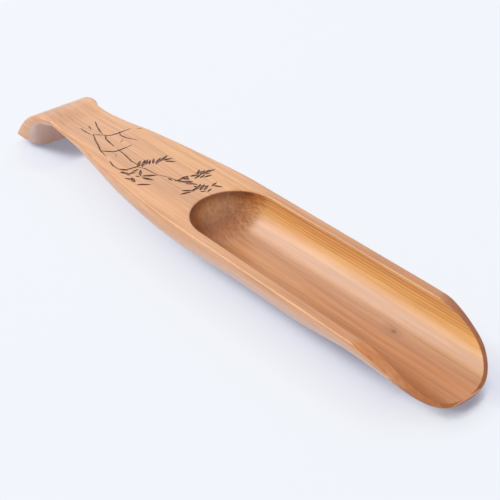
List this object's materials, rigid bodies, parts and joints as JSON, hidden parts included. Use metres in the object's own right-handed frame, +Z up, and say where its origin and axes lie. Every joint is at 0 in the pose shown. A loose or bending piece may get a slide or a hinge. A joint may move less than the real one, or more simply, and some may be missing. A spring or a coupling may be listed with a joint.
{
  "type": "tea scoop",
  "caption": "Shallow trough-shaped scoop of laminated bamboo whose flat tapering handle rolls over into a hooked foot, for lifting and showing dry tea leaves.",
  "frame": {"origin": "on the table, under the middle of the scoop's length and width", "axes": "+X along the scoop towards the tip of the bowl, +Y to its left seen from the handle, +Z up from the table"},
  "size_m": [0.185, 0.032, 0.0151],
  "materials": {
    "left_edge_strip": "satin",
    "left_side_strip": "satin",
    "left_core_strip": "satin",
    "right_core_strip": "satin",
    "right_side_strip": "satin"
  },
  "bodies": {
    "root": {"left_edge_strip": "left_edge_strip", "left_side_strip": "left_side_strip", "left_core_strip": "left_core_strip", "right_core_strip": "right_core_strip", "right_side_strip": "right_side_strip"}
  },
  "joints": []
}
